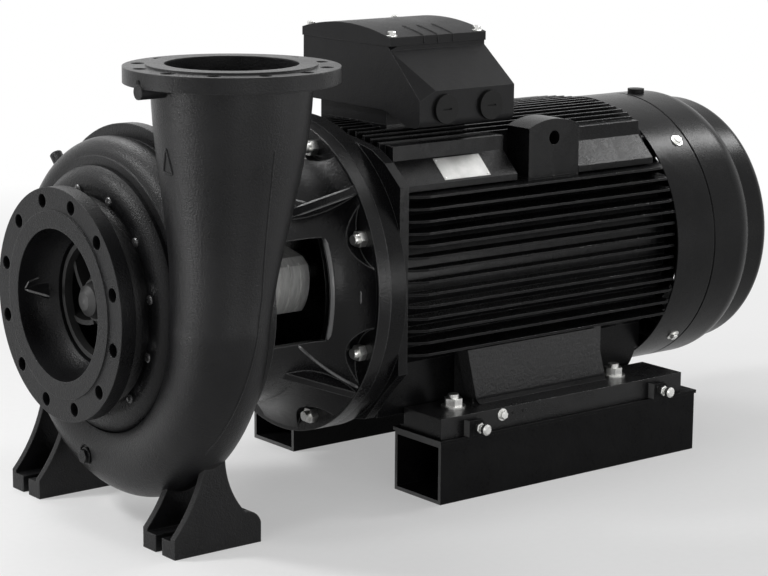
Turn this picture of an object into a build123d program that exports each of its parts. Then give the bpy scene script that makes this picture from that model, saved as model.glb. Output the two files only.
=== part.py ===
from build123d import *
import math
import os

# Close-coupled end-suction pump whose foot-mounted motor stands on two support tubes.
# X runs along the shaft from the suction flange to the fan end, Z is up, -Y is the
# side of the discharge branch, and the origin is the centre of the suction flange
# face. Sizes are in millimetres.

# Shaft line and clearances
axis_height = 450.0
run_gap = 0.05
seat_gap = 0.2
moving_gap = 5.0
cut_over = 1.0

# Suction flange, neck and front cover
suction_bore = 300.0
suction_flange_d = 460.0
suction_pcd = 410.0
suction_holes = 12
suction_hole_d = 28.0
suction_flange_t = 32.0
suction_raised_d = 370.0
suction_raised_t = 3.0
suction_neck_r = 185.0
front_cover_r = 264.0
bulge_x = 73.0
bulge_r = 238.0
bulge_foot_r = 206.0
front_spigot_r = 255.0
front_spigot_t = 8.0
eye_r = 128.0
eye_x = 77.0
rib_tip = (8.0, 6.0)
rib_ridge = (48.0, -8.0)
rib_rear_x = 66.0
rib_half_w = 26.0
rib_reach = 38.0

# Discharge flange and leg
discharge_x = 194.0
discharge_y = -314.0
discharge_z = 487.0
discharge_bore = 250.0
discharge_flange_d = 405.0
discharge_raised_d = 320.0
discharge_raised_t = 4.0
discharge_pcd = 355.0
discharge_holes = 12
discharge_hole_d = 26.0
discharge_flange_t = 30.0
leg_r = 151.0
leg_lean = 1.9
bore_step = 1.5
gauge_boss_r = 14.0
gauge_boss_x = -12.0
gauge_boss_z = 447.0

# Volute: elliptical sections that grow round the drum
volute_x = 150.0
volute_throat_x = 143.0
volute_base_r = 239.0
volute_start_r = 316.0
volute_throat_r = 444.0
volute_half_w = 44.0
volute_throat_half_w = 92.0
volute_growth = 1.3
volute_start_deg = -62.0
tongue_deg = -8.0
throat_deg = 270.0
volute_steps = 9
leg_steps = 5
casing_wall = 16.0

# Drum, rims and vent boss of the casing
drum_r = 282.0
drum_front_x = 104.0
front_wall = 16.0
drum_back_x = 250.0
back_opening_r = 262.0
rim_r = 340.0
rim_x0 = 174.0
rim_t = 24.0
back_rim_r = 314.0
back_rim_t = 18.0
vent_boss_deg = 45.0
vent_boss_r = 13.0
vent_boss_reach = 356.0
vent_boss_l = 61.0
drain_x = 66.0
drain_y = 32.0
drain_z = -322.0
drain_boss_r = 20.0

# Casing feet
foot_x0 = 63.0
foot_x1 = 263.0
foot_y_in = 196.0
foot_y_out = 306.0
foot_wall = 14.0
foot_base_t = 34.0
foot_toe_h = 40.0
foot_top_z = -270.0
foot_mid_x = 150.0
foot_top_w = 44.0
foot_waist_w = 90.0
foot_slot_w = 22.0
foot_slot_l = 60.0

# Back cover and lantern between casing and motor
cover_t = 24.0
cover_boss_r = 110.0
cover_boss_x = 312.0
lantern_x = 274.0
lantern_rim_t = 24.0
lantern_rim_r = 310.0
lantern_r = 252.0
lantern_wall = 16.0
lantern_flare_x = 440.0
lantern_flange_x = 532.0
lantern_flange_t = 31.0
lantern_mouth_r = 322.0
motor_flange_r = 330.0
motor_flange_pcd = 600.0
motor_flange_bolts = 8
motor_flange_bolt_d = 22.0
nut_turn_deg = 22.5
bracket_nut_r = 17.0
stud_r = 10.0
stud_over = 10.0
nut_pocket_r = 83.0
nut_pocket_pcd = 729.0
nut_pocket_l = 62.0
spigot_r = 262.0
window_x0 = 330.0
window_x1 = 466.0
window_mid_z = 14.0
window_half_h = 103.0
gusset_deg = 50.0
gusset_t = 18.0
gusset_x0 = 400.0

# Rotor
shaft_r = 42.5
shaft_end_r = 34.5
impeller_r = 205.0
impeller_x0 = 82.0
impeller_x1 = 182.0
impeller_exit = 44.0
impeller_blades = 6
blade_sweep_deg = 95.0
blade_bow = 0.44
shroud_t = 10.0
blade_t = 10.0
hub_r = 62.0
coupling_r = 96.0
coupling_x0 = 424.0
coupling_x1 = 535.0
coupling_flat_z = 62.0
coupling_arc_z = 51.5
coupling_turn_deg = 12.0
coupling_grooves = 3
groove_w = 4.0
groove_depth = 3.0

# Motor frame
motor_flange_t = 38.0
motor_shaft_height = 315.0
shield_t = 22.0
shield_y = 307.0
shield_top_z = 302.0
frame_x0 = 640.0
frame_x1 = 1384.0
frame_core_r = 262.0
fin_reach = 293.0
fin_root = 200.0
fin_pitch = 25.0
fin_t = 5.0
side_fins = 14
side_fin_top_z = 185.0
fin_front_x = 717.0
fin_end = ((1310.0, 352.0), (1350.0, 338.0), (1374.0, 304.0))
top_fins = 16
top_fin_z = 306.0
top_fin_drop = 22.0
shoulder_in_y = 120.0
shoulder_step_y = 215.0
shoulder_y = 262.0
shoulder_top_z = 284.0
shoulder_step_z = 250.0
shoulder_slope_z = 205.0
shoulder_base_z = 192.0
shoulder_x0 = 655.0
shoulder_x1 = 948.0
shoulder_x2 = 1122.0
shoulder_x3 = 1340.0
lug_x0 = 980.0
lug_x1 = 1120.0
lug_in_y = 192.0
lug_top_z = 296.0
lug_crown_z = 312.0
lug_eye_r = 15.0

# Fan end
cowl_r = 306.0
cowl_bead_x = 1495.0
cowl_bead_w = 5.0
cowl_turn_x = 1580.0
cowl_x1 = 1616.0
cowl_end_r = 295.0
cowl_wall = 4.0
cap_r = 286.0
cap_x1 = 1694.0
cap_corner = 24.0
grille_rows = ((90.0, 8), (140.0, 12), (190.0, 16))
grille_hole_r = 17.0
fan_r = 250.0
fan_x0 = 1484.0
fan_hub_r = 70.0
fan_hub_t = 60.0
fan_blades = 8
rear_shield_t = 60.0
button_x = 1539.0
button_r = 19.0
button_h = 9.0

# Motor feet, top plates, jack tabs and support tubes
foot_pitch_y = 508.0
foot_bolt_x0 = 790.0
foot_bolt_pitch = 457.0
foot_bolt_d = 28.0
motor_foot_t = 43.0
motor_foot_w = 132.0
motor_foot_x0 = 704.0
motor_foot_x1 = 1391.0
foot_panel_x0 = 838.0
foot_panel_x1 = 1200.0
foot_panel_y = 270.0
foot_panel_t = 36.0
foot_panel_z = -152.0
foot_panel_lean = 24.0
washer_r = 26.0
washer_t = 4.0
bolt_r = 12.0
nut_r = 20.0
nut_t = 16.0
top_plate_t = 7.0
top_plate_lip = 3.0
tube_w = 150.0
tube_wall = 8.0
tube_x0 = 696.0
tube_x1 = 1425.0
jack_x = (763.0, 1290.0)
jack_t = 11.0
jack_h = 34.0
jack_reach = 10.0

# Terminal box, gland plugs and nameplate
box_x0 = 699.0
box_x1 = 950.0
box_y = 148.0
box_front_y = -245.0
box_base_z = 342.0
box_lobe_y = -130.0
box_lobe_z = 315.0
box_lobe_r = 16.0
box_shelf_z = 390.0
box_slope_z = 464.0
box_z1 = 473.0
box_corner_x = 740.0
box_lid_rim = 18.0
box_lid_crown = 38.0
box_lid_over = 2.0
neck_x0 = 719.0
neck_x1 = 930.0
neck_y = 112.0
plug_x = (765.0, 883.0)
plug_z = 352.0
plug_r = 30.0
plug_t = 8.0
plug_slot_l = 22.0
plug_slot_w = 3.0
plate_x = 817.0
plate_l = 122.0
plate_h = 56.0
plate_t = 1.0


def rod(x0, x1, r, y=0.0, z=0.0):
    """Cylinder along X."""
    return Pos((x0 + x1) / 2, y, z) * Rot(0, 90, 0) * Cylinder(r, x1 - x0)


def post(x, y, z0, z1, r):
    """Cylinder along Z."""
    return Pos(x, y, (z0 + z1) / 2) * Cylinder(r, z1 - z0)


def block(x0, x1, y0, y1, z0, z1):
    """Box between two corners, whose y values may come in either order."""
    return Pos((x0 + x1) / 2, (y0 + y1) / 2, (z0 + z1) / 2) * Box(x1 - x0, abs(y1 - y0), z1 - z0)


def turned(*edges):
    """Solid of revolution about the shaft from edges in (x, radius) coordinates."""
    return revolve(Plane.XZ * make_face(Curve() + list(edges)), Axis.X, 360)


def turned_points(points):
    """Solid of revolution about the shaft from (x, radius) corners."""
    return turned(Polyline(*points, points[0]))


def on_circle(pcd, deg):
    """Y and Z of a point round the shaft, at an angle from the top toward +Y."""
    a = math.radians(deg)
    return pcd / 2 * math.sin(a), pcd / 2 * math.cos(a)


def drilled(count, pcd, r, x0, x1, start_deg):
    """Pins along X on a circle round the shaft, to cut holes with."""
    spots = [on_circle(pcd, start_deg + 360.0 * i / count) for i in range(count)]
    return [rod(x0, x1, r, y, z) for y, z in spots]


def smooth(t):
    """Eases from 0 to 1 with level ends."""
    return t * t * (3 - 2 * t)


def volute_section(deg, inset):
    """Elliptical section of the spiral at an angle from the top, turning away from the leg."""
    share = (max(deg, 0.0) / throat_deg) ** volute_growth
    outer = volute_start_r + (volute_throat_r - volute_start_r) * share
    half_r = (outer - volute_base_r) / 2
    half_w = volute_half_w + (volute_throat_half_w - volute_half_w) * share
    x = volute_x + (volute_throat_x - volute_x) * share
    a = math.radians(deg)
    middle = volute_base_r + half_r
    centre = (x, middle * math.sin(a), middle * math.cos(a))
    plane = Plane(origin=centre, x_dir=(1, 0, 0), z_dir=(0, math.cos(a), -math.sin(a)))
    return plane * Ellipse(half_w - inset, half_r - inset)


def leg_section(share, inset):
    """Section of the discharge leg, from the spiral's throat (0) to the flange (1)."""
    throat_half_r = (volute_throat_r - volute_base_r) / 2
    grown = smooth(share)
    half_w = volute_throat_half_w + (leg_r - volute_throat_half_w) * grown
    half_r = throat_half_r + (leg_r - throat_half_r) * grown
    if inset > 0:
        inset += (leg_r + bore_step - discharge_bore / 2 - inset) * grown
    lean = 1 - (1 - share) ** leg_lean
    x = volute_throat_x + (discharge_x - volute_throat_x) * lean
    y = -(volute_base_r + throat_half_r) * (1 - lean) + discharge_y * lean
    z = share * (discharge_z - discharge_flange_t)
    plane = Plane(origin=(x, y, z), x_dir=(1, 0, 0), z_dir=(0, 0, 1))
    return plane * Ellipse(half_w - inset, half_r - inset)


def volute_body(inset, start_deg):
    """Spiral and discharge leg, shrunk by inset all round."""
    turn = throat_deg - start_deg
    spiral = [volute_section(start_deg + turn * i / volute_steps, inset) for i in range(volute_steps + 1)]
    leg = [leg_section(i / leg_steps, inset) for i in range(leg_steps + 1)]
    return loft(spiral) + loft(leg)


def casing_foot(side):
    """Hollow foot: a flared web and a slotted pad, open to the suction side."""
    floor = -axis_height
    toe = floor + foot_toe_h
    left = foot_mid_x - foot_top_w / 3
    right = foot_mid_x + foot_top_w * 2 / 3
    profile = make_face(
        Polyline((foot_x0, toe), (foot_x0, floor), (foot_x1, floor), (foot_x1, toe))
        + ThreePointArc((foot_x1, toe), (foot_x1 - 10, toe + 17), (foot_x1 - 36, toe + 26))
        + ThreePointArc((foot_x1 - 36, toe + 26), (foot_mid_x + foot_waist_w / 2, foot_top_z - 66),
                        (right, foot_top_z))
        + Line((right, foot_top_z), (left, foot_top_z))
        + ThreePointArc((left, foot_top_z), (foot_mid_x - foot_waist_w / 2, foot_top_z - 80), (foot_x0, toe))
    )
    middle = side * (foot_y_in + foot_y_out) / 2
    foot = Pos(0, middle, 0) * extrude(Plane.XZ * profile, (foot_y_out - foot_y_in) / 2, both=True)
    half_pocket = (foot_y_out - foot_y_in) / 2 - foot_wall
    pocket = block(foot_x0 - cut_over, foot_x1 - foot_wall, middle - half_pocket, middle + half_pocket,
                   floor + foot_base_t, foot_top_z - foot_wall)
    slot = block(foot_x0 - cut_over, foot_x0 + foot_slot_l, middle - foot_slot_w / 2,
                 middle + foot_slot_w / 2, floor - cut_over, floor + foot_base_t + cut_over)
    slot_end = post(foot_x0 + foot_slot_l, middle, floor - cut_over, floor + foot_base_t + cut_over,
                    foot_slot_w / 2)
    return foot - [pocket, slot, slot_end]


def discharge_hole_pins():
    """Pins along Z on the discharge bolt circle, to cut holes with."""
    pins = []
    for i in range(discharge_holes):
        a = math.radians(360.0 * (i + 0.5) / discharge_holes)
        x = discharge_x + discharge_pcd / 2 * math.sin(a)
        y = discharge_y + discharge_pcd / 2 * math.cos(a)
        pins.append(post(x, y, discharge_z - 60, discharge_z + cut_over, discharge_hole_d / 2))
    return pins


def vent_boss():
    """Small boss that stands out of the spiral on the far side."""
    centre = vent_boss_reach - vent_boss_l / 2
    return Rot(-vent_boss_deg, 0, 0) * Pos(volute_x, 0, centre) * Cylinder(vent_boss_r, vent_boss_l)


def volute_casing():
    """Spiral casing in one casting with the discharge leg, its flange, the rims and both feet."""
    flange_top = discharge_z - discharge_raised_t
    flange_base = flange_top - discharge_flange_t
    back_rim_x = drum_back_x - back_rim_t
    drum = turned_points([
        (drum_front_x, 0), (drum_front_x, drum_r), (rim_x0, drum_r), (rim_x0, rim_r), (rim_x0 + rim_t, rim_r),
        (rim_x0 + rim_t, drum_r), (back_rim_x, drum_r), (back_rim_x, back_rim_r), (drum_back_x, back_rim_r),
        (drum_back_x, 0)])
    body = volute_body(0.0, volute_start_deg) + [drum, casing_foot(-1), casing_foot(1), vent_boss()]
    body -= [
        volute_body(casing_wall, tongue_deg),
        rod(drum_front_x - 90, drum_front_x, front_cover_r + cut_over),
        rod(drum_front_x - cut_over, drum_front_x + front_wall + cut_over, front_spigot_r),
        rod(drum_front_x + front_wall, drum_back_x + cut_over, back_opening_r),
        rod(drum_back_x, drum_back_x + 100, back_rim_r + cut_over),
        rod(drain_x - 20, drain_x + 14, drain_boss_r + 3, drain_y, drain_z),
    ]
    body += [
        post(discharge_x, discharge_y, flange_base, flange_top, discharge_flange_d / 2),
        post(discharge_x, discharge_y, flange_top - cut_over, discharge_z, discharge_raised_d / 2),
        rod(gauge_boss_x, discharge_x - leg_r + casing_wall, gauge_boss_r, discharge_y, gauge_boss_z),
        rod(drain_x + 14, drain_x + 40, drain_boss_r, drain_y, drain_z),
    ]
    bore = post(discharge_x, discharge_y, flange_base - cut_over, discharge_z + cut_over, discharge_bore / 2)
    return body - [bore, *discharge_hole_pins()]


def guide_rib():
    """Wedge on the far wall of the throat that keeps the inflow from turning."""
    wall_y = suction_bore / 2 + 5
    tip = (rib_tip[0], wall_y, rib_tip[1])
    ridge = (rib_ridge[0], suction_bore / 2 - rib_reach, rib_ridge[1])
    high = (rib_rear_x, wall_y, rib_half_w)
    low = (rib_rear_x, wall_y, -rib_half_w)
    corners = [(tip, ridge, high), (tip, low, ridge), (ridge, low, high), (tip, high, low)]
    return Solid(Shell([make_face(Polyline(a, b, c, a)).face() for a, b, c in corners]))


def suction_cover():
    """Front cover with the suction flange, the neck, the bulged ring and the guide rib."""
    flange_r = suction_flange_d / 2
    raised_r = suction_raised_d / 2
    face_x = -suction_raised_t
    cover_r = front_spigot_r - seat_gap
    back_x = drum_front_x + front_spigot_t
    neck_x = suction_flange_t + 16
    outer = [
        Polyline((face_x, 0), (face_x, raised_r), (0, raised_r), (0, flange_r), (suction_flange_t, flange_r),
                 (suction_flange_t, suction_neck_r + 12)),
        ThreePointArc((suction_flange_t, suction_neck_r + 12), (suction_flange_t + 5, suction_neck_r + 4),
                      (neck_x, suction_neck_r)),
        ThreePointArc((neck_x, suction_neck_r), (bulge_x - 7, bulge_foot_r - 15),
                      (bulge_x + 4, bulge_foot_r)),
        ThreePointArc((bulge_x + 4, bulge_foot_r), (bulge_x, bulge_r), (bulge_x + 22, front_cover_r)),
        Polyline((bulge_x + 22, front_cover_r), (drum_front_x, front_cover_r), (drum_front_x, cover_r),
                 (back_x, cover_r), (back_x, 0), (face_x, 0)),
    ]
    shroud_x = impeller_x1 - impeller_exit - 2 * shroud_t - moving_gap - 1
    passage = [
        Polyline((face_x - cut_over, 0), (face_x - cut_over, suction_bore / 2), (20, suction_bore / 2)),
        ThreePointArc((20, suction_bore / 2), (54, suction_bore / 2 - 7), (eye_x, eye_r)),
        Line((eye_x, eye_r), (impeller_x0 + 9, eye_r)),
        ThreePointArc((impeller_x0 + 9, eye_r), (impeller_x0 + 16, eye_r + 26), (shroud_x, impeller_r)),
        Polyline((shroud_x, impeller_r), (shroud_x, impeller_r + moving_gap),
                 (back_x + cut_over, impeller_r + moving_gap), (back_x + cut_over, 0), (face_x - cut_over, 0)),
    ]
    body = turned(*outer) - turned(*passage) + guide_rib()
    return body - drilled(suction_holes, suction_pcd, suction_hole_d / 2, -cut_over,
                          suction_flange_t + cut_over, 15)


def drain_plug():
    """Hexagon plug low on the front of the spiral."""
    head = Pos(drain_x, drain_y, drain_z) * extrude(Plane.YZ * RegularPolygon(drain_boss_r - 5, 6), 10)
    return head + rod(drain_x + 8, drain_x + 14, drain_boss_r - 3, drain_y, drain_z)


def impeller_outline():
    """Impeller as a full body of revolution: eye ring, curved front shroud and back."""
    x0, x1 = impeller_x0, impeller_x1
    eye = eye_r - moving_gap
    rim_x = x1 - impeller_exit - 2 * shroud_t
    return turned(
        Polyline((x0, 0), (x0, eye), (x0 + 8, eye)),
        ThreePointArc((x0 + 8, eye), (x0 + 22, eye + 29), (rim_x, impeller_r)),
        Polyline((rim_x, impeller_r), (x1, impeller_r), (x1, 0), (x0, 0)),
    )


def impeller_channel():
    """Space between hub and shrouds that the liquid flows through."""
    x0 = impeller_x0
    mouth_r = eye_r - moving_gap - shroud_t
    out_x = impeller_x1 - shroud_t
    in_x = out_x - impeller_exit
    rim = impeller_r + cut_over
    return turned(
        Polyline((x0 - cut_over, hub_r - 20), (x0 - cut_over, mouth_r), (x0 + 18, mouth_r)),
        ThreePointArc((x0 + 18, mouth_r), (x0 + 31, mouth_r + 36), (in_x, rim)),
        Polyline((in_x, rim), (out_x, rim), (out_x, hub_r + 30)),
        ThreePointArc((out_x, hub_r + 30), (out_x - 12, hub_r + 8), (out_x - 36, hub_r)),
        Polyline((out_x - 36, hub_r), (x0 + 22, hub_r), (x0 + 6, hub_r - 20), (x0 - cut_over, hub_r - 20)),
    )


def impeller():
    """Closed impeller: the passages between its backward-curved blades are cut from the full body."""
    root = Vector(hub_r - 4, 0)
    middle = Vector((hub_r + impeller_r) / 2 + 4, 0).rotate(Axis.Z, blade_sweep_deg * blade_bow)
    tip = Vector(impeller_r + 6, 0).rotate(Axis.Z, blade_sweep_deg)
    line = trace(ThreePointArc(root, middle, tip), blade_t)
    wall = Pos(impeller_x0 + 14, 0, 0) * extrude(Plane.YZ * line, impeller_x1 - impeller_x0)
    walls = [Rot(360.0 / impeller_blades * i, 0, 0) * wall for i in range(impeller_blades)]
    bore = rod(impeller_x0 - cut_over, impeller_x1 + cut_over, shaft_end_r)
    return impeller_outline() - [impeller_channel() - walls, bore]


def shaft():
    """Pump and motor shaft in one line, stepped down in the impeller."""
    return rod(impeller_x0 + 4, impeller_x1, shaft_end_r) + rod(impeller_x1, fan_x0 + fan_hub_t, shaft_r)


def coupling_sleeve():
    """Rigid coupling with two flats, two bevels beside each and fine grooves."""
    reach = coupling_r + 4
    bevel = (coupling_flat_z - coupling_arc_z) / (math.sqrt(coupling_r ** 2 - coupling_arc_z ** 2) - 60)
    outer_z = coupling_arc_z - bevel * (reach - math.sqrt(coupling_r ** 2 - coupling_arc_z ** 2))
    section = [(reach, -outer_z), (reach, outer_z), (60, coupling_flat_z), (-60, coupling_flat_z),
               (-reach, outer_z), (-reach, -outer_z), (-60, -coupling_flat_z), (60, -coupling_flat_z)]
    bar = extrude(Plane.YZ * make_face(Polyline(*section, section[0])), coupling_x1 - coupling_x0)
    body = rod(coupling_x0, coupling_x1, coupling_r) & (Pos(coupling_x0, 0, 0) * bar)
    grooves = []
    for i in range(coupling_grooves):
        x = coupling_x1 - 24 - 26 * i
        grooves.append(rod(x, x + groove_w, coupling_r + 1) - rod(x, x + groove_w, coupling_r - groove_depth))
    body -= [*grooves, rod(coupling_x0 - cut_over, coupling_x1 + cut_over, shaft_r)]
    return Rot(coupling_turn_deg, 0, 0) * body


def casing_cover():
    """Cover that closes the casing behind the impeller and carries the shaft seal."""
    face_x = impeller_x1 + moving_gap
    spigot = back_opening_r - seat_gap
    body = turned_points([
        (face_x, 0), (face_x, spigot), (drum_back_x, spigot), (drum_back_x, back_rim_r),
        (drum_back_x + cover_t, back_rim_r), (drum_back_x + cover_t, cover_boss_r),
        (cover_boss_x, cover_boss_r - 20), (cover_boss_x, 0)])
    return body - rod(face_x - cut_over, cover_boss_x + cut_over, shaft_r + run_gap)


def gusset(deg):
    """Triangular rib between the lantern's barrel and its motor flange."""
    top = lantern_mouth_r + 4
    root = lantern_r - 6
    end = lantern_flange_x + 2
    profile = make_face(Polyline(
        (gusset_x0, root), (gusset_x0, lantern_r), (lantern_flange_x, top), (end, top), (end, lantern_r + 14),
        (lantern_flare_x, root), (gusset_x0, root)))
    return Rot(-deg, 0, 0) * extrude(Plane.XZ * profile, gusset_t / 2, both=True)


def lantern_bracket():
    """Barrel that flares to the motor flange, with two side windows and a pocket round each nut."""
    x0, x1 = lantern_x, lantern_flange_x + lantern_flange_t
    rim_x = x0 + lantern_rim_t
    inner_r = lantern_r - lantern_wall
    body = turned(
        Polyline((x0, inner_r), (x0, lantern_rim_r), (rim_x, lantern_rim_r), (rim_x, lantern_r),
                 (lantern_flare_x, lantern_r)),
        ThreePointArc((lantern_flare_x, lantern_r), (lantern_flare_x + 58, lantern_r + 24),
                      (lantern_flange_x, lantern_mouth_r)),
        Polyline((lantern_flange_x, lantern_mouth_r), (lantern_flange_x, motor_flange_r),
                 (x1, motor_flange_r), (x1, spigot_r), (x1 - 20, spigot_r), (lantern_flare_x, inner_r),
                 (x0, inner_r)),
    )
    body += [gusset(deg) for deg in (gusset_deg, 180 - gusset_deg, 180 + gusset_deg, -gusset_deg)]
    windows = [block(window_x0, window_x1, side * 120, side * 400, window_mid_z - window_half_h,
                     window_mid_z + window_half_h) for side in (-1, 1)]
    pockets = drilled(motor_flange_bolts, nut_pocket_pcd, nut_pocket_r, lantern_flange_x - nut_pocket_l,
                      lantern_flange_x, nut_turn_deg)
    holes = drilled(motor_flange_bolts, motor_flange_pcd, motor_flange_bolt_d / 2,
                    lantern_flange_x - cut_over, x1 + cut_over, nut_turn_deg)
    return body - [*windows, *pockets, *holes]


def bracket_nuts():
    """Hexagon nuts on studs round the bracket flange."""
    nuts = []
    for i in range(motor_flange_bolts):
        y, z = on_circle(motor_flange_pcd, nut_turn_deg + 360.0 * i / motor_flange_bolts)
        nut_x = lantern_flange_x - nut_t
        nut = Pos(nut_x, y, z) * extrude(Plane.YZ * RegularPolygon(bracket_nut_r, 6), nut_t)
        stud = rod(nut_x - stud_over, lantern_flange_x + lantern_flange_t, stud_r, y, z)
        nuts.append(nut + stud)
    return Compound(children=[solid for nut in nuts for solid in nut.solids()])


def motor_outline():
    """Squarish outline of the motor seen along the shaft."""
    y, z = shield_y, shield_top_z
    right = [(y, 214), (y - 50, 256), (shoulder_step_y, 278)]
    top = ThreePointArc(right[-1], (0, z), (-shoulder_step_y, 278))
    left = Polyline((-shoulder_step_y, 278), (-(y - 50), 256), (-y, 214), (-y, -168), (-(y - 45), -212),
                    (-200, -280))
    base = ThreePointArc((-200, -280), (0, -z), (200, -280))
    close = Polyline((200, -280), (y - 45, -212), (y, -168), *right)
    return make_face(Curve() + [top, left, base, close])


def motor_flange():
    """Drive-end shield with the mounting flange and the squarish plate behind it."""
    x0 = lantern_flange_x + lantern_flange_t
    x1 = x0 + motor_flange_t
    plate = Pos(x1, 0, 0) * extrude(Plane.YZ * motor_outline(), shield_t)
    body = rod(x0, x1, motor_flange_r) + [plate, rod(x1, frame_x0, frame_core_r)]
    recess = rod(x0 - cut_over, x0 + 14, spigot_r - 20)
    return body - [recess, rod(x0, frame_x0 + cut_over, shaft_r + run_gap)]


def fin_rows():
    """Cross-sections of all cooling fins, as rectangles in the YZ plane."""
    rows = []
    for side in (-1, 1):
        for i in range(side_fins):
            z = side_fin_top_z - i * fin_pitch
            rows.append(Pos(side * (fin_root + fin_reach) / 2, z) * Rectangle(fin_reach - fin_root, fin_t))
    for i in range(top_fins):
        y = (i - (top_fins - 1) / 2) * fin_pitch
        reach = top_fin_z - top_fin_drop * (y / fin_root) ** 2
        root = 150.0
        for up in (-1, 1):
            rows.append(Pos(y, up * (root + reach) / 2) * Rectangle(fin_t, reach - root))
    return rows


def shoulder(side, x0, x1):
    """Terraced block along the upper side of the frame, sloped where the nameplate sits."""
    step = side * shoulder_step_y
    outer = side * shoulder_y
    inner = side * shoulder_in_y
    profile = make_face(Polyline(
        (inner, shoulder_base_z - 20), (inner, shoulder_top_z), (step, shoulder_top_z - 4),
        (step, shoulder_step_z), (outer, shoulder_slope_z), (outer, shoulder_base_z),
        (inner, shoulder_base_z - 20)))
    return Pos(x0, 0, 0) * extrude(Plane.YZ * profile, x1 - x0)


def fin_envelope():
    """Space that the fins fill, seen from above, with rounded front corners."""
    half = fin_reach + 2
    front = frame_core_r + 3
    taper_x = fin_front_x - 50
    near = (Polyline((frame_x0, front), (frame_x0, -front))
            + ThreePointArc((frame_x0, -front), (taper_x, 10 - half), (fin_front_x, -half))
            + Line((fin_front_x, -half), (frame_x1, -half)))
    far = (Polyline((frame_x1, -half), (frame_x1, half), (fin_front_x, half))
           + ThreePointArc((fin_front_x, half), (taper_x, half - 10), (frame_x0, front)))
    return extrude(make_face(near + far), top_fin_z + 10, both=True)


def fin_rear():
    """Body of revolution that rounds the fins off towards the cowl."""
    start, middle, end = fin_end
    return turned(
        Polyline((frame_x0, 0), (frame_x0, start[1]), start),
        ThreePointArc(start, middle, end),
        Polyline(end, (frame_x1, end[1]), (frame_x1, 0), (frame_x0, 0)),
    )


def motor_frame():
    """Frame with cooling fins, shoulders, lug seats and the terminal box pad."""
    section = Circle(frame_core_r) + fin_rows()
    bars = Pos(frame_x0, 0, 0) * extrude(Plane.YZ * section, frame_x1 - frame_x0)
    body = bars & fin_envelope() & fin_rear()
    seat_z = side_fin_top_z - fin_t / 2
    for side in (-1, 1):
        seat = block(lug_x0, lug_x1, side * lug_in_y, side * shoulder_y, seat_z, shoulder_base_z)
        body += [shoulder(side, shoulder_x0, shoulder_x1), shoulder(side, shoulder_x2, shoulder_x3), seat]
    body += block(neck_x0, neck_x1, -neck_y, neck_y, fin_root, top_fin_z + 2)
    return body - rod(frame_x0 - cut_over, frame_x1 + cut_over, shaft_r + moving_gap)


def rear_shield():
    """Non-drive end shield under the cowl."""
    x1 = frame_x1 + rear_shield_t
    body = turned_points([(frame_x1, 0), (frame_x1, frame_core_r), (frame_x1 + 40, 180), (x1, 120), (x1, 0)])
    return body - rod(frame_x1 - cut_over, x1 + cut_over, shaft_r + run_gap)


def cooling_fan():
    """Radial fan on the shaft end."""
    x = fan_x0
    blades = [Rot(360.0 * i / fan_blades, 0, 0) * block(x, x + fan_hub_t, -3, 3, fan_hub_r - 10, fan_r)
              for i in range(fan_blades)]
    body = rod(x, x + 6, fan_r - 40) + [rod(x, x + fan_hub_t, fan_hub_r), *blades]
    return body - rod(x - cut_over, x + fan_hub_t + cut_over, shaft_r)


def fan_cowl():
    """Sheet cowl with a shallow bead and a rounded rear shoulder."""
    turn = (cowl_x1 + cowl_turn_x) / 2
    wall = cowl_wall
    bead_end = cowl_bead_x + cowl_bead_w
    outer = turned(
        Polyline((frame_x1, 0), (frame_x1, cowl_r), (cowl_bead_x, cowl_r), (cowl_bead_x, cowl_r - 2),
                 (bead_end, cowl_r - 2), (bead_end, cowl_r), (cowl_turn_x, cowl_r)),
        ThreePointArc((cowl_turn_x, cowl_r), (turn, cowl_r - 2.5), (cowl_x1, cowl_end_r)),
        Polyline((cowl_x1, cowl_end_r), (cowl_x1, 0), (frame_x1, 0)),
    )
    inner = turned(
        Polyline((frame_x1, 0), (frame_x1, cowl_r - wall), (cowl_turn_x, cowl_r - wall)),
        ThreePointArc((cowl_turn_x, cowl_r - wall), (turn - wall / 2, cowl_r - 2.5 - wall),
                      (cowl_x1 - wall, cowl_end_r - wall)),
        Polyline((cowl_x1 - wall, cowl_end_r - wall), (cowl_x1 - wall, 0), (frame_x1, 0)),
    )
    mouth = rod(cowl_x1 - 2 * wall, cowl_x1 + cut_over, cap_r - wall)
    return outer - [inner, mouth]


def cowl_cap():
    """Shallow pan at the rear with the air inlet holes."""
    bend = cap_corner * (1 - math.sqrt(0.5))
    bend_x = cap_x1 - cap_corner
    wall = cowl_wall
    inset = bend + wall * math.sqrt(0.5)
    outer = turned(
        Polyline((cowl_x1, 0), (cowl_x1, cap_r), (bend_x, cap_r)),
        ThreePointArc((bend_x, cap_r), (cap_x1 - bend, cap_r - bend), (cap_x1, cap_r - cap_corner)),
        Polyline((cap_x1, cap_r - cap_corner), (cap_x1, 0), (cowl_x1, 0)),
    )
    inner = turned(
        Polyline((cowl_x1 - cut_over, 0), (cowl_x1 - cut_over, cap_r - wall), (bend_x, cap_r - wall)),
        ThreePointArc((bend_x, cap_r - wall), (cap_x1 - inset, cap_r - inset),
                      (cap_x1 - wall, cap_r - cap_corner)),
        Polyline((cap_x1 - wall, cap_r - cap_corner), (cap_x1 - wall, 0), (cowl_x1 - cut_over, 0)),
    )
    holes = []
    for radius, count in grille_rows:
        holes += drilled(count, 2 * radius, grille_hole_r, cap_x1 - 20, cap_x1 + cut_over, 0)
    return outer - [inner, *holes]


def cowl_button():
    """Flat round cap on top of the cowl."""
    return post(button_x, 0, cowl_r - 1, cowl_r + button_h, button_r) - rod(cowl_x1 - 300, cowl_x1, cowl_r)


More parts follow.
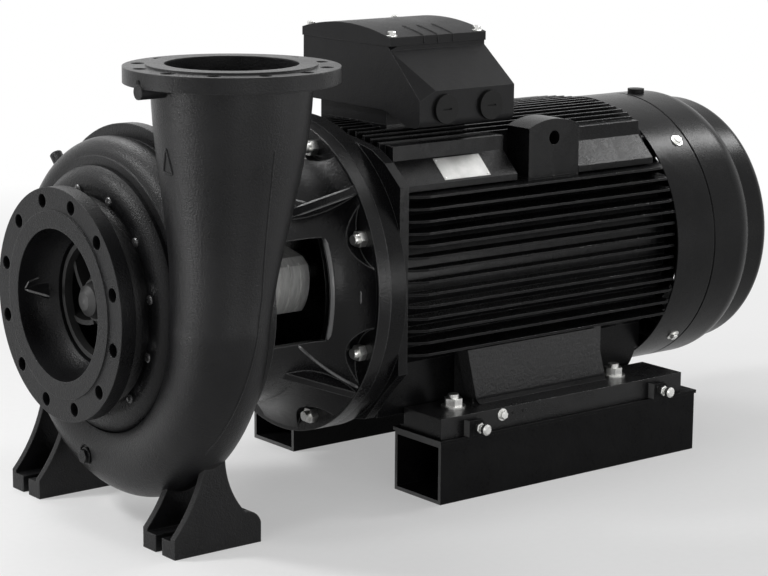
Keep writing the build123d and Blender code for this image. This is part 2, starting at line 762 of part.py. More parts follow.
def foot_panel(plate_top):
    """Leaning panel that rises from the foot rail between its bolts."""
    x0, x1 = foot_panel_x0, foot_panel_x1
    root = plate_top - 2
    face = make_face(
        Polyline((x0 - foot_panel_lean, foot_panel_z), (x0, plate_top + 16))
        + ThreePointArc((x0, plate_top + 16), (x0 + 5, plate_top + 6), (x0 + 18, root))
        + Polyline((x0 + 18, root), (x1 + 10, root), (x1 - foot_panel_lean, foot_panel_z),
                   (x0 - foot_panel_lean, foot_panel_z)))
    return Pos(0, foot_panel_y, 0) * extrude(Plane.XZ * face, foot_panel_t)


def motor_foot(side):
    """Foot rail, panel and web of one side, shaped to sit against the motor frame."""
    z0 = -motor_shaft_height
    plate_top = z0 + motor_foot_t
    y0, y1 = foot_pitch_y / 2 - motor_foot_w / 2, foot_pitch_y / 2 + motor_foot_w / 2
    rail = block(motor_foot_x0, motor_foot_x1, y0, y1, z0, plate_top)
    web = block(foot_panel_x0, foot_panel_x1, y0 - 40, foot_panel_y - 10, z0, foot_panel_z + 2)
    foot = rail + [foot_panel(plate_top), web]
    fin_low = side_fin_top_z - (side_fins - 1) * fin_pitch - fin_t
    cuts = [rod(frame_x0, frame_x1 + 20, frame_core_r),
            block(frame_x0, frame_x1 + 20, 100, fin_reach + 4, fin_low, 0),
            block(frame_x0, frame_x1 + 20, 100, fin_root - 2, -top_fin_z - 2, 0)]
    for x in bolt_spots():
        cuts.append(post(x, foot_pitch_y / 2, z0 - cut_over, plate_top + cut_over, foot_bolt_d / 2))
    foot -= cuts
    return foot if side > 0 else mirror(foot, Plane.XZ)


def bolt_spots():
    """X of the two bolts of a motor foot."""
    return foot_bolt_x0, foot_bolt_x0 + foot_bolt_pitch


def foot_bolts(side):
    """Bolts that hold a motor foot down on its support tube."""
    y = side * foot_pitch_y / 2
    top = -motor_shaft_height + motor_foot_t
    below = -motor_shaft_height - top_plate_t - tube_wall
    bolts = []
    for x in bolt_spots():
        head = Pos(x, y, top + washer_t) * extrude(RegularPolygon(nut_r, 6), nut_t)
        nut = Pos(x, y, below - nut_t) * extrude(RegularPolygon(nut_r, 6), nut_t)
        shank = post(x, y, below - nut_t - 4, top + washer_t + nut_t + 8, bolt_r)
        bolts.append(post(x, y, top, top + washer_t, washer_r) + [head, nut, shank])
    return Compound(children=[solid for bolt in bolts for solid in bolt.solids()])


def top_plate(side):
    """Machined strip between a motor foot and its support tube."""
    z1 = -motor_shaft_height
    y = side * foot_pitch_y / 2
    half = tube_w / 2 + top_plate_lip
    plate = block(tube_x0 - top_plate_lip, tube_x1 + top_plate_lip, y - half, y + half, z1 - top_plate_t, z1)
    return plate - [post(x, y, z1 - top_plate_t - cut_over, z1 + cut_over, bolt_r) for x in bolt_spots()]


def support_tube(side):
    """Square tube under a motor foot, open at both ends."""
    y = side * foot_pitch_y / 2
    z1 = -motor_shaft_height - top_plate_t
    half = tube_w / 2
    tube = block(tube_x0, tube_x1, y - half, y + half, -axis_height, z1)
    hollow = block(tube_x0 - cut_over, tube_x1 + cut_over, y - half + tube_wall, y + half - tube_wall,
                   -axis_height + tube_wall, z1 - tube_wall)
    holes = [post(x, y, z1 - tube_wall - cut_over, z1 + cut_over, bolt_r) for x in bolt_spots()]
    return tube - [hollow, *holes]


def jack_tabs(side):
    """Two upright tabs on the edge of the top plate that carry the jacking screws."""
    y0 = side * (foot_pitch_y / 2 + motor_foot_w / 2 + 1)
    y1 = side * (foot_pitch_y / 2 + tube_w / 2 + jack_reach)
    z0 = -motor_shaft_height
    tabs = [block(x, x + jack_t, y0, y1, z0, z0 + jack_h) for x in jack_x]
    return Compound(children=[solid for tab in tabs for solid in tab.solids()])


def terminal_box_body():
    """Box with a sloped cable face on the near side and a lobe below it."""
    bend = box_lobe_r * (1 - math.sqrt(0.5))
    front_low = box_lobe_z + box_lobe_r
    side = make_face(
        Polyline((box_y, box_base_z), (box_y, box_z1), (-box_y, box_z1), (-box_y, box_slope_z),
                 (box_front_y, box_shelf_z), (box_front_y, front_low))
        + ThreePointArc((box_front_y, front_low), (box_front_y + bend, box_lobe_z + bend),
                        (box_front_y + box_lobe_r, box_lobe_z))
        + Polyline((box_front_y + box_lobe_r, box_lobe_z), (box_front_y + 40, box_lobe_z),
                   (box_lobe_y, box_base_z), (box_y, box_base_z))
    )
    body = Pos(box_x0, 0, 0) * extrude(Plane.YZ * side, box_x1 - box_x0)
    corner = Vector(box_x0, -box_y, box_slope_z)
    right = Vector(box_corner_x, box_front_y, box_shelf_z)
    left = Vector(box_x0, box_front_y, box_shelf_z - 19)
    facet = Plane(origin=corner, z_dir=(right - corner).cross(left - corner) * -1)
    cutter = facet * Pos(0, 0, 100) * Box(400, 400, 200)
    return body - cutter


def terminal_box_lid():
    """Lid with a rim and a shallow crown along the shaft direction."""
    z0, z1, z2 = box_z1, box_z1 + box_lid_rim, box_z1 + box_lid_crown
    y = box_y + box_lid_over
    profile = make_face(
        Polyline((-y, z1), (-y, z0), (y, z0), (y, z1))
        + ThreePointArc((y, z1), (0, z2), (-y, z1)))
    return Pos(box_x0 - box_lid_over, 0, 0) * extrude(Plane.YZ * profile, box_x1 - box_x0 + 2 * box_lid_over)


def terminal_box_neck():
    """Short neck between the frame pad and the box."""
    return block(neck_x0, neck_x1, -neck_y, neck_y, top_fin_z + 2, box_base_z)


def gland_plugs():
    """Blanking plugs in the two cable entries, each with a screwdriver slot."""
    plugs = []
    for x in plug_x:
        disc = Pos(x, box_front_y - plug_t / 2, plug_z) * Rot(90, 0, 0) * Cylinder(plug_r, plug_t)
        slot = block(x - plug_slot_l / 2, x + plug_slot_l / 2, box_front_y - plug_t - cut_over,
                     box_front_y - plug_t + 3, plug_z - plug_slot_w / 2, plug_z + plug_slot_w / 2)
        plugs.append(disc - slot)
    return Compound(children=[solid for plug in plugs for solid in plug.solids()])


def lifting_lug(side):
    """Cast lug on the upper side of the frame with an eye through its crown."""
    middle = (lug_x0 + lug_x1) / 2
    profile = make_face(
        Polyline((lug_x0, lug_top_z), (lug_x0, shoulder_base_z), (lug_x1, shoulder_base_z),
                 (lug_x1, lug_top_z))
        + ThreePointArc((lug_x1, lug_top_z), (middle, lug_crown_z), (lug_x0, lug_top_z)))
    lug = Pos(0, side * (lug_in_y + shoulder_y) / 2, 0) * extrude(
        Plane.XZ * profile, (shoulder_y - lug_in_y) / 2, both=True)
    eye = Pos(middle, side * shoulder_y, lug_top_z - 24) * Rot(90, 0, 0) * Cylinder(lug_eye_r, 400)
    return lug - [eye, rod(lug_x0 - cut_over, lug_x1 + cut_over, frame_core_r)]


def nameplate():
    """Blank rating plate on the sloped shoulder."""
    slope = Vector(0, shoulder_step_y - shoulder_y, shoulder_step_z - shoulder_slope_z)
    middle = Vector(plate_x, -(shoulder_step_y + shoulder_y) / 2, (shoulder_step_z + shoulder_slope_z) / 2)
    plane = Plane(origin=middle, x_dir=(1, 0, 0), z_dir=(0, -slope.Z, -slope.Y))
    return plane * Pos(0, 0, plate_t / 2) * Box(plate_l, plate_h, plate_t)


def parts():
    """All nodes by name."""
    out = {
        "volute_casing": volute_casing(),
        "suction_cover": suction_cover(),
        "drain_plug": drain_plug(),
        "casing_cover": casing_cover(),
        "impeller": impeller(),
        "shaft": shaft(),
        "coupling_sleeve": coupling_sleeve(),
        "lantern_bracket": lantern_bracket(),
        "bracket_nuts": bracket_nuts(),
        "motor_flange": motor_flange(),
        "motor_frame": motor_frame(),
        "nameplate": nameplate(),
        "rear_shield": rear_shield(),
        "cooling_fan": cooling_fan(),
        "fan_cowl": fan_cowl(),
        "cowl_cap": cowl_cap(),
        "cowl_button": cowl_button(),
        "terminal_box_body": terminal_box_body(),
        "terminal_box_lid": terminal_box_lid(),
        "terminal_box_neck": terminal_box_neck(),
        "gland_plugs": gland_plugs(),
    }
    for name, side in (("near", -1), ("far", 1)):
        out["motor_foot_" + name] = motor_foot(side)
        out["foot_bolts_" + name] = foot_bolts(side)
        out["top_plate_" + name] = top_plate(side)
        out["support_tube_" + name] = support_tube(side)
        out["jack_tabs_" + name] = jack_tabs(side)
        out["lifting_lug_" + name] = lifting_lug(side)
    return out


if __name__ == "__main__":
    os.makedirs("parts", exist_ok=True)
    for name, part in parts().items():
        export_step(part, "parts/" + name + ".step")
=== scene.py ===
import math

import bmesh
import bpy
from mathutils import Matrix, Vector
from mathutils.bvhtree import BVHTree


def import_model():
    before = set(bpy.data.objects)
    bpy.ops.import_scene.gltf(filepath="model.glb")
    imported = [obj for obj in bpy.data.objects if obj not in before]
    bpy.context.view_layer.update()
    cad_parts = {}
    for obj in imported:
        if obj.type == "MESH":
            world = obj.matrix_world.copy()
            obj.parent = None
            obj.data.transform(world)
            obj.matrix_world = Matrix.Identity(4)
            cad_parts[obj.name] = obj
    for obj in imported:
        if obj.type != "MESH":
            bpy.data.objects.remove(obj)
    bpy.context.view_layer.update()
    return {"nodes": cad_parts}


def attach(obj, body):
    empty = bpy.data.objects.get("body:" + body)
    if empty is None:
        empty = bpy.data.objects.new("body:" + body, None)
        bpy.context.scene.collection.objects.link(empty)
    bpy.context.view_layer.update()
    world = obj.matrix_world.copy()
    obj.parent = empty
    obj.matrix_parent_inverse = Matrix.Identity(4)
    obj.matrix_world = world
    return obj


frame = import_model()

# Places on the solids, in metres: x along the shaft, -y towards the camera, z up
floor_z = -0.45
cover_screw_r = 0.2195
cover_screw_x = 0.0735
impeller_nut_at = (0.090, 0, 0)
gauge_plug_at = (-0.0085, -0.310, 0.462)
shield_screw_x, shield_screw_y, shield_screw_z = 0.6225, 0.242, 0.237
lid_x = (0.697, 0.952)
lid_y = 0.150
lid_z = 0.491
lid_rib_x = (0.785, 0.822, 0.862)
nameplate_at = (0.817, -0.2385, 0.2275)
cowl_r = 0.306
cowl_screw_x = 1.466
plate_z = -0.315
jack_x = (0.763, 1.290)
jack_y = 0.334
tab_t = 0.011
foot_face_y = -0.320
foot_screw_z = -0.287
foot_crust_z = -0.262

# Paint: noise scales per metre, and a speck's depth as a share of the grain's
patch_scale = 9.0
upward_tint_scale = 26.0
wave_scale = 30.0
speck_scale = 900.0
speck_share = 0.25

# Lighter tint on what faces up: its colour is the lighter paint colour times the gain plus the
# lift
upward_tint_gain, upward_tint_lift = 2.6, 0.008

# Rubbed edges with a painted highlight: their lighter colour, the loss of roughness, and the
# cosine between the flat and the rounded normal where an edge takes the full wear and painted
# highlight and where it is untouched
wear_and_highlight_tone = (0.075, 0.075, 0.076)
rub_polish = 0.10
wear_and_highlight_cosines = (0.86, 0.985)

# Sawn ends: colour, and the normal's x where a face is fully bare and where it is painted
sawn_tone = (0.11, 0.11, 0.11)
sawn_cosines = (-0.97, -0.93)

# Rough top of the motor feet: noise scale, depth, height over which it starts, colour
crust_scale = 120.0
crust_depth = 0.0022
crust_fade = 0.006
crust_tone = (0.026, 0.026, 0.0265)

# Root of the discharge leg: z ranges and y range where its mask fades, and its round
root_low, root_high = (-0.12, -0.04), (0.08, 0.16)
root_front = (-0.36, -0.30)
root_radius = 0.03

# Metal: stains, how dark they are, and the radius that edges look rounded to
stain_scale = 22.0
stain_shade = 0.62
metal_edge = 0.0008

# Plastic: noise scales, depth of the grain, edge radius, lighter patches, specular level
plastic_scale, plastic_patch_scale = 700.0, 40.0
plastic_depth, plastic_edge = 0.00012, 0.0012
plastic_gain = 1.7
plastic_gloss = 0.1

# Floor: base colours and specular level
floor_tones = ((0.80, 0.80, 0.80), (0.84, 0.84, 0.84))
floor_gloss = 0.1

# Section of a bead in shares of its width and height, and the size of its ends
bead_section = ((-0.5, -0.3), (-0.36, 0.6), (0.0, 1.0), (0.36, 0.6), (0.5, -0.3))
bead_end = 0.35

# Laid paths: how far above a surface the search starts, and when two points are one
drop_height = 0.12
same_point = 1e-5


# node helpers
def new_material(name):
    mat = bpy.data.materials.new(name)
    mat.use_nodes = True
    return mat, mat.node_tree, mat.node_tree.nodes["Principled BSDF"]


def add(tree, kind, **inputs):
    """New node with numbers set on its inputs; an underscore stands for a space."""
    node = tree.nodes.new(kind)
    for key, value in inputs.items():
        node.inputs[key.replace("_", " ")].default_value = value
    return node


def feed(tree, value, socket):
    """Set a socket to a number or colour, or link another node's output to it."""
    if isinstance(value, (int, float)):
        socket.default_value = value
    elif isinstance(value, tuple):
        socket.default_value = (*value, 1.0)
    else:
        tree.links.new(value, socket)


def coords(tree, stretch=(1, 1, 1)):
    place = tree.nodes.new("ShaderNodeTexCoord")
    mapping = add(tree, "ShaderNodeMapping", Scale=stretch)
    tree.links.new(place.outputs["Object"], mapping.inputs["Vector"])
    return mapping.outputs["Vector"]


def noise(tree, where, scale, detail=2.0, rough=0.5):
    node = add(tree, "ShaderNodeTexNoise", Scale=scale, Detail=detail, Roughness=rough)
    tree.links.new(where, node.inputs["Vector"])
    return node.outputs["Fac"]


def span(tree, value, a0, a1, b0, b1):
    """Map a0..a1 to b0..b1, held at both ends."""
    node = add(tree, "ShaderNodeMapRange", From_Min=a0, From_Max=a1, To_Min=b0, To_Max=b1)
    tree.links.new(value, node.inputs["Value"])
    return node.outputs["Result"]


def spread(tree, value, low, high):
    """Map the middle of a noise, where most of it lies, to low..high."""
    return span(tree, value, 0.3, 0.7, low, high)


def maths(tree, kind, a, b):
    node = tree.nodes.new("ShaderNodeMath")
    node.operation = kind
    feed(tree, a, node.inputs[0])
    feed(tree, b, node.inputs[1])
    return node.outputs[0]


def times(tree, a, b):
    return maths(tree, "MULTIPLY", a, b)


def mix_colour(tree, factor, a, b):
    node = tree.nodes.new("ShaderNodeMix")
    node.data_type = "RGBA"
    for value, place in ((factor, 0), (a, 6), (b, 7)):
        feed(tree, value, node.inputs[place])
    return node.outputs[2]


def mix_vector(tree, factor, a, b):
    node = tree.nodes.new("ShaderNodeMix")
    node.data_type = "VECTOR"
    for value, place in ((factor, 0), (a, 4), (b, 5)):
        feed(tree, value, node.inputs[place])
    return node.outputs[1]


def bump(tree, height, distance, normal):
    node = add(tree, "ShaderNodeBump", Distance=distance, Strength=1.0)
    tree.links.new(height, node.inputs["Height"])
    tree.links.new(normal, node.inputs["Normal"])
    return node.outputs["Normal"]


def soft_edge(tree, radius):
    node = add(tree, "ShaderNodeBevel", Radius=radius)
    node.samples = 4
    return node.outputs["Normal"]


def flat_normal(tree):
    return tree.nodes.new("ShaderNodeNewGeometry").outputs["Normal"]


def coordinate(tree, where, axis):
    split = tree.nodes.new("ShaderNodeSeparateXYZ")
    tree.links.new(where, split.inputs[0])
    return split.outputs[axis]


def link_looks(tree, shader, colour, rough, normal):
    tree.links.new(colour, shader.inputs["Base Color"])
    tree.links.new(rough, shader.inputs["Roughness"])
    tree.links.new(normal, shader.inputs["Normal"])


# masks
def cut_face(tree):
    """1 on surfaces that face the suction side, such as a sawn tube end."""
    return span(tree, coordinate(tree, flat_normal(tree), "X"), *sawn_cosines, 1.0, 0.0)


def edge_wear_and_highlight(tree, rounded):
    """1 on edges, where paint lies thin and a highlight is painted in a lighter colour, 0 on the
    flats between them.
    """
    node = tree.nodes.new("ShaderNodeVectorMath")
    node.operation = "DOT_PRODUCT"
    tree.links.new(flat_normal(tree), node.inputs[0])
    tree.links.new(rounded, node.inputs[1])
    return span(tree, node.outputs["Value"], *wear_and_highlight_cosines, 1.0, 0.0)


def leg_root(tree, where):
    """1 where the discharge leg runs into the spiral, fading out above, below and behind."""
    height = coordinate(tree, where, "Z")
    above = span(tree, height, *root_low, 0.0, 1.0)
    below = span(tree, height, *root_high, 1.0, 0.0)
    near = span(tree, coordinate(tree, where, "Y"), *root_front, 1.0, 0.0)
    return times(tree, times(tree, above, below), near)


def upward_tint_mask(tree, where, most):
    """Patchy, up to most on what faces straight up and 0 on steep faces."""
    facing = span(tree, coordinate(tree, flat_normal(tree), "Z"), 0.45, 1.0, 0.0, most)
    patches = span(tree, noise(tree, where, upward_tint_scale, 5.0, 0.65), 0.3, 0.75, 0.2, 1.0)
    return times(tree, facing, patches)


# materials
def paint(name, tones, rough, grain, grain_depth, edge, upward_tint=0.2, wave=0.0006, gloss=0.2,
          wear_and_highlight_amount=0.5, sawn=False, crust_above=None, eased=False):
    """Satin black paint over cast iron or sheet, lighter in patches on what faces up.

    tones are the darkest and lightest colour, edge is the radius that edges look rounded to,
    wear_and_highlight_amount is how far they are rubbed and given a painted highlight, and sawn
    bares the faces towards the suction side.
    crease under the discharge leg.
    """
    dark, light = tones
    mat, tree, shader = new_material(name)
    where = coords(tree)
    broad = noise(tree, where, patch_scale, 4.0, 0.6)
    fine = noise(tree, where, grain, 3.0, 0.6)
    speck = noise(tree, where, speck_scale, 1.0, 0.5)
    rounded = soft_edge(tree, edge)
    wear_and_highlight = times(tree, edge_wear_and_highlight(tree, rounded), wear_and_highlight_amount)

    colour = mix_colour(tree, span(tree, broad, 0.35, 0.7, 0.0, 1.0), dark, light)
    upward_tint_tone = tuple(c * upward_tint_gain + upward_tint_lift for c in light)
    # lighter tone in patches on what faces up
    colour = mix_colour(tree, upward_tint_mask(tree, where, upward_tint), colour, upward_tint_tone)
    if sawn:
        colour = mix_colour(tree, cut_face(tree), colour, sawn_tone)
    # lighter colour on edges: part wear, part painted highlight
    colour = mix_colour(tree, wear_and_highlight, colour, wear_and_highlight_tone)

    if eased:
        rounded = mix_vector(tree, leg_root(tree, where), rounded, soft_edge(tree, root_radius))
    normal = bump(tree, noise(tree, where, wave_scale), wave, rounded)
    if crust_above is not None:
        height = coordinate(tree, where, "Z")
        mask = span(tree, height, crust_above, crust_above + crust_fade, 0.0, 1.0)
        crust = times(tree, noise(tree, where, crust_scale, 4.0, 0.7), mask)
        normal = bump(tree, crust, crust_depth, normal)
        colour = mix_colour(tree, mask, colour, crust_tone)
    normal = bump(tree, fine, grain_depth, normal)
    normal = bump(tree, speck, grain_depth * speck_share, normal)

    shade = maths(tree, "ADD", spread(tree, fine, rough - 0.05, rough + 0.05),
                  spread(tree, broad, -0.03, 0.05))
    shade = maths(tree, "SUBTRACT", shade, times(tree, wear_and_highlight, rub_polish))
    shader.inputs["Specular IOR Level"].default_value = gloss
    link_looks(tree, shader, colour, shade, normal)
    return mat


def metal(name, colour, rough, grain, grain_depth, metallic=1.0, stretch=(1, 1, 1)):
    """Bare or plated metal with fine tool marks and slight stains."""
    mat, tree, shader = new_material(name)
    where = coords(tree, stretch)
    fine = noise(tree, where, grain, 3.0, 0.6)
    stain = noise(tree, where, stain_scale, 4.0, 0.65)
    darker = tuple(c * stain_shade for c in colour)
    shader.inputs["Metallic"].default_value = metallic
    link_looks(tree, shader,
               mix_colour(tree, span(tree, stain, 0.35, 0.7, 0.0, 0.8), colour, darker),
               span(tree, fine, 0.25, 0.75, rough - 0.07, rough + 0.1),
               bump(tree, fine, grain_depth, soft_edge(tree, metal_edge)))
    return mat


def plastic(name, colour, rough):
    """Moulded plastic with a faint grain."""
    mat, tree, shader = new_material(name)
    where = coords(tree)
    fine = noise(tree, where, plastic_scale)
    lighter = tuple(c * plastic_gain for c in colour)
    shader.inputs["Specular IOR Level"].default_value = plastic_gloss
    link_looks(tree, shader,
               mix_colour(tree, noise(tree, where, plastic_patch_scale, 3.0), colour, lighter),
               spread(tree, fine, rough - 0.04, rough + 0.06),
               bump(tree, fine, plastic_depth, soft_edge(tree, plastic_edge)))
    return mat


iron_black = ((0.004, 0.004, 0.0044), (0.0075, 0.0075, 0.008))
bracket_black = ((0.003, 0.003, 0.0033), (0.007, 0.007, 0.0075))
motor_black = ((0.003, 0.003, 0.0033), (0.006, 0.006, 0.0063))
foot_black = ((0.006, 0.006, 0.0063), (0.011, 0.011, 0.0115))
box_black = ((0.005, 0.005, 0.0055), (0.008, 0.008, 0.0085))
# lighter grey that paints a soft highlight on screw domes and on the throat rib's crest
soft_highlight_grey = ((0.02, 0.02, 0.0205), (0.035, 0.035, 0.0355))
# pale grey that paints highlights on beads along the lantern's lip and rib edges
highlight_grey = ((0.06, 0.06, 0.061), (0.10, 0.10, 0.101))

casting = paint("casting_paint", iron_black, rough=0.30, grain=260.0, grain_depth=0.0009,
                edge=0.003, wave=0.0003, gloss=0.15, wear_and_highlight_amount=0.35)
volute_paint = paint("volute_paint", iron_black, rough=0.31, grain=260.0, grain_depth=0.0009,
                     edge=0.004, wave=0.0003, gloss=0.18, wear_and_highlight_amount=0.3, eased=True)
bracket_paint = paint("bracket_paint", bracket_black, rough=0.22, grain=240.0,
                      grain_depth=0.0005, edge=0.004, gloss=0.18, wear_and_highlight_amount=1.0)
motor_paint = paint("motor_paint", motor_black, rough=0.26, grain=420.0, grain_depth=0.00018,
                    edge=0.0016, gloss=0.10, wear_and_highlight_amount=1.0)
foot_paint = paint("foot_paint", foot_black, rough=0.30, grain=300.0, grain_depth=0.0004,
                   edge=0.002, gloss=0.20, wear_and_highlight_amount=0.7, crust_above=foot_crust_z)
sheet_paint = paint("sheet_paint", motor_black, rough=0.25, grain=520.0, grain_depth=0.00007,
                    edge=0.0015, upward_tint=0.1, wave=0.0003, gloss=0.12, wear_and_highlight_amount=0.25)
tube_paint = paint("tube_paint", motor_black, rough=0.30, grain=160.0, grain_depth=0.0003,
                   edge=0.0015, upward_tint=0.1, wave=0.0012, gloss=0.06, wear_and_highlight_amount=0.35, sawn=True)
box_paint = paint("box_paint", box_black, rough=0.42, grain=330.0, grain_depth=0.0004,
                  edge=0.0025, upward_tint=0.05, gloss=0.12, wear_and_highlight_amount=0.6)
soft_highlight_paint = paint("soft_highlight_paint", soft_highlight_grey, rough=0.26, grain=400.0, grain_depth=0.0001,
                   edge=0.0015, gloss=0.6)
highlight_paint = paint("highlight_paint", highlight_grey, rough=0.22, grain=400.0, grain_depth=0.0001,
                   edge=0.001, gloss=0.8)
raw_iron = metal("raw_iron", (0.028, 0.028, 0.028), rough=0.5, grain=260.0,
                 grain_depth=0.0003, metallic=0.3)
zinc = metal("zinc_plate", (0.72, 0.72, 0.7), rough=0.3, grain=500.0, grain_depth=0.00006)
turned_steel = metal("turned_steel", (0.5, 0.5, 0.49), rough=0.26, grain=300.0,
                     grain_depth=0.00008, stretch=(6, 1, 1))
sleeve_steel = metal("sleeve_steel", (0.95, 0.95, 0.93), rough=0.38, grain=300.0,
                     grain_depth=0.00005, metallic=0.1, stretch=(6, 1, 1))
plate_metal = metal("plate_metal", (0.46, 0.46, 0.45), rough=0.42, grain=420.0,
                    grain_depth=0.00004, metallic=0.7)
black_plastic = plastic("plug_plastic", (0.004, 0.004, 0.004), rough=0.42)

finish = {
    "volute_casing": volute_paint, "suction_cover": casting, "casing_cover": casting,
    "lantern_bracket": bracket_paint, "drain_plug": casting,
    "impeller": raw_iron, "shaft": turned_steel, "coupling_sleeve": sleeve_steel,
    "bracket_nuts": zinc, "nameplate": plate_metal,
    "motor_flange": motor_paint, "motor_frame": motor_paint, "rear_shield": motor_paint,
    "cooling_fan": black_plastic, "cowl_button": black_plastic, "gland_plugs": black_plastic,
    "fan_cowl": sheet_paint, "cowl_cap": sheet_paint,
    "terminal_box_body": box_paint, "terminal_box_lid": box_paint,
    "terminal_box_neck": box_paint,
}
for side in ("near", "far"):
    finish["motor_foot_" + side] = foot_paint
    finish["foot_bolts_" + side] = zinc
    finish["top_plate_" + side] = tube_paint
    finish["support_tube_" + side] = tube_paint
    finish["jack_tabs_" + side] = tube_paint
    finish["lifting_lug_" + side] = motor_paint
for name, obj in frame["nodes"].items():
    for place in obj.material_slots:
        place.material = finish[name]


# small pieces
class Part:
    """Collects turned, flat and laid shapes into one mesh."""

    def __init__(self):
        self.bm = bmesh.new()

    def skin(self, rings):
        """Faces from ring to ring, and one over each end."""
        for low, high in zip(rings, rings[1:]):
            for i in range(len(low)):
                j = (i + 1) % len(low)
                self.bm.faces.new((low[i], low[j], high[j], high[i]))
        self.bm.faces.new(rings[0][::-1])
        self.bm.faces.new(rings[-1])

    def lathe(self, rows, centre, axis, sides=24, turn=0.0):
        """Closed solid from (radius, height) rows along an axis; six sides make a hexagon."""
        spin = Vector(axis).normalized().to_track_quat("Z", "Y").to_matrix()
        rings = []
        for radius, height in rows:
            ring = []
            for i in range(sides):
                angle = turn + 2 * math.pi * i / sides
                local = Vector((radius * math.cos(angle), radius * math.sin(angle), height))
                ring.append(self.bm.verts.new(Vector(centre) + spin @ local))
            rings.append(ring)
        self.skin(rings)

    def prism(self, outline, lift):
        """Closed solid between an outline of points and the same outline moved by lift."""
        low = [self.bm.verts.new(p) for p in outline]
        high = [self.bm.verts.new(Vector(p) + Vector(lift)) for p in outline]
        self.skin([low, high])

    def screw(self, at, axis, head_r, head_h, washer_r=0.0, washer_h=0.0, turn=0.3):
        """Hexagon head, on a washer if it has one; both start just inside the surface."""
        at = Vector(at)
        axis = Vector(axis).normalized()
        if washer_r:
            washer = [(washer_r, -0.001), (washer_r, washer_h * 0.8),
                      (washer_r - 0.0006, washer_h)]
            self.lathe(washer, at, axis, 28)
        head = [(head_r, -0.0005), (head_r, head_h * 0.78), (head_r * 0.84, head_h)]
        self.lathe(head, at + axis * washer_h * 0.98, axis, 6, turn)

    def bead(self, path, width, height):
        """Low rounded ridge that follows a path of points and normals, smaller at its ends."""
        rings = []
        last = len(path) - 1
        for i, (at, normal) in enumerate(path):
            along = (path[min(i + 1, last)][0] - path[max(i - 1, 0)][0]).normalized()
            across = along.cross(normal).normalized()
            size = bead_end if i in (0, last) else 1.0
            ring = []
            for u, v in bead_section:
                point = at + across * u * width * size + normal * v * height * size
                ring.append(self.bm.verts.new(point))
            rings.append(ring)
        self.skin(rings)

    def piece(self, name, material, body="pump", bevel=0.0):
        """Turn what was collected into a piece that rides on a body."""
        bmesh.ops.recalc_face_normals(self.bm, faces=self.bm.faces)
        mesh = bpy.data.meshes.new(name)
        self.bm.to_mesh(mesh)
        self.bm.free()
        mesh.materials.append(material)
        obj = bpy.data.objects.new(name, mesh)
        bpy.context.scene.collection.objects.link(obj)
        if bevel:
            cut = obj.modifiers.new("edge", "BEVEL")
            cut.width = bevel
            cut.segments = 2
            cut.limit_method = "ANGLE"
        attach(obj, body)


def outward(degrees):
    """Unit vector away from the shaft, turned from straight up towards the camera's side."""
    angle = math.radians(degrees)
    return 0.0, -math.sin(angle), math.cos(angle)


def cover_screws():
    part = Part()
    rows = [(0.0095, -0.002), (0.0095, 0.003), (0.0075, 0.0048), (0.003, 0.0058)]
    for i in range(12):
        _, y, z = outward(20 + 30 * i)
        part.lathe(rows, (cover_screw_x, y * cover_screw_r, z * cover_screw_r), (-1, 0, 0))
    # the domes are a lighter grey that paints a soft highlight on them
    part.piece("cover_screws", soft_highlight_paint)


def lid_screws():
    part = Part()
    inset_x, inset_y = 0.014, 0.013
    for x in (lid_x[0] + inset_x, lid_x[1] - inset_x):
        for y in (-lid_y + inset_y, lid_y - inset_y):
            part.screw((x, y, lid_z + 0.002), (0, 0, 1), head_r=0.0085, head_h=0.008,
                       washer_r=0.0115, washer_h=0.002)
    part.piece("lid_screws", zinc)


def cowl_screws():
    part = Part()
    for degrees in (43, 135, 225, 317):
        out = outward(degrees)
        at = (cowl_screw_x, out[1] * cowl_r, out[2] * cowl_r)
        part.screw(at, out, head_r=0.0095, head_h=0.007, washer_r=0.0145, washer_h=0.002,
                   turn=0.2)
    part.piece("cowl_screws", zinc)


def jack_plates():
    """Front plate of each jack bracket, with its outer top corner cut off."""
    part = Part()
    thickness, width, cut_x, cut_z = 0.009, 0.036, 0.008, 0.010
    low, high = plate_z - 0.001, plate_z + 0.032
    for side in (-1, 1):
        for x in jack_x:
            left, right, front = x + tab_t, x + tab_t + width, side * jack_y
            outline = [(left, front, low), (right, front, low), (right, front, high - cut_z),
                       (right - cut_x, front, high), (left, front, high)]
            part.prism(outline, (0, -side * thickness, 0))
    part.piece("jack_plates", tube_paint, bevel=0.001)


def jack_screws():
    part = Part()
    shank = [(0.006, -0.004), (0.006, 0.024)]
    tip = [(0.0105, 0.017), (0.0115, 0.019), (0.0115, 0.026), (0.008, 0.029)]
    for side in (-1, 1):
        for x in jack_x:
            at = Vector((x + tab_t + 0.019, side * jack_y, plate_z + 0.015))
            out = (0, side, 0)
            part.lathe(shank, at, out, sides=16)
            part.screw(at, out, head_r=0.0115, head_h=0.009)
            part.lathe(tip, at, out, sides=20)
    part.piece("jack_screws", zinc)


def earth_screw():
    part = Part()
    at = (0.868, foot_face_y, foot_screw_z)
    part.screw(at, (0, -1, 0), head_r=0.0095, head_h=0.008, washer_r=0.013, washer_h=0.002)
    part.piece("earth_screw", zinc)


def foot_pips():
    part = Part()
    rows = [(0.0028, -0.001), (0.0028, 0.0004), (0.0016, 0.0006)]
    for x in (0.897, 0.925):
        part.lathe(rows, (x, foot_face_y, foot_screw_z), (0, -1, 0), sides=12)
    part.piece("foot_pips", black_plastic)


def impeller_nut():
    part = Part()
    rows = [(0.040, -0.010), (0.040, 0.004), (0.037, 0.010), (0.031, 0.024),
            (0.018, 0.033), (0.004, 0.036)]
    part.lathe(rows, impeller_nut_at, (-1, 0, 0), sides=40)
    part.piece("impeller_nut", raw_iron, "rotor")


